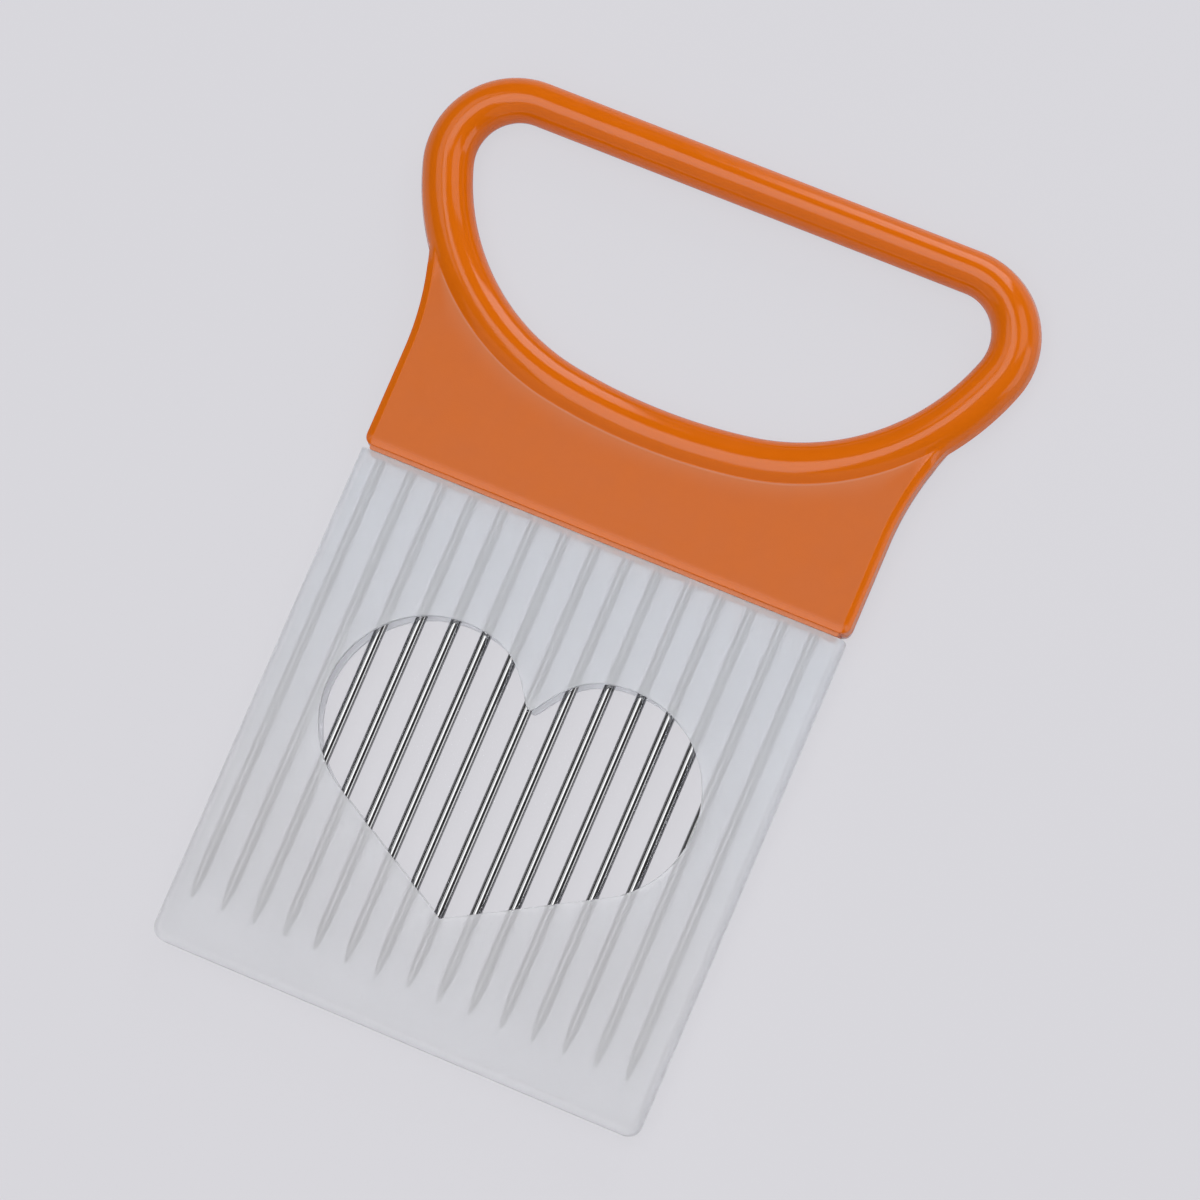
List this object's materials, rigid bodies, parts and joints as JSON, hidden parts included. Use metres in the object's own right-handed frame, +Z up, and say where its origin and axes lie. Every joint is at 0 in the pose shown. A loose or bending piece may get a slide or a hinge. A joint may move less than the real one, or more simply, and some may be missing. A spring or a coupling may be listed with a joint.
{
  "type": "slicing guide",
  "caption": "Hand-held slicing guide: a comb of straight steel needles moulded into an orange plastic loop handle, with a frosted slip-on sheath that has a heart-shaped window.",
  "frame": {"origin": "under the middle of the guide, on the surface that it lies on", "axes": "+Z up through the guide's thickness, +Y along the needles from their tips towards the loop handle, +X along the row of needles"},
  "size_m": [0.1078, 0.1548, 0.0086],
  "materials": {
    "handle_plastic": "glossy orange moulded plastic",
    "needle_steel": "bright drawn stainless steel wire",
    "sheath_plastic": "frosted, milky see-through plastic"
  },
  "bodies": {
    "slicer": {"handle": "handle_plastic", "needle_01": "needle_steel", "needle_02": "needle_steel", "needle_03": "needle_steel", "needle_04": "needle_steel", "needle_05": "needle_steel", "needle_06": "needle_steel", "needle_07": "needle_steel", "needle_08": "needle_steel", "needle_09": "needle_steel", "needle_10": "needle_steel", "needle_11": "needle_steel", "needle_12": "needle_steel", "needle_13": "needle_steel", "needle_14": "needle_steel", "needle_15": "needle_steel"},
    "sheath": {"sheath": "sheath_plastic"}
  },
  "joints": [
    {"name": "sheath_pull", "type": "slide", "parent": "slicer", "child": "sheath", "axis": [0, -1, 0], "range_m": [0, 0.09]}
  ]
}
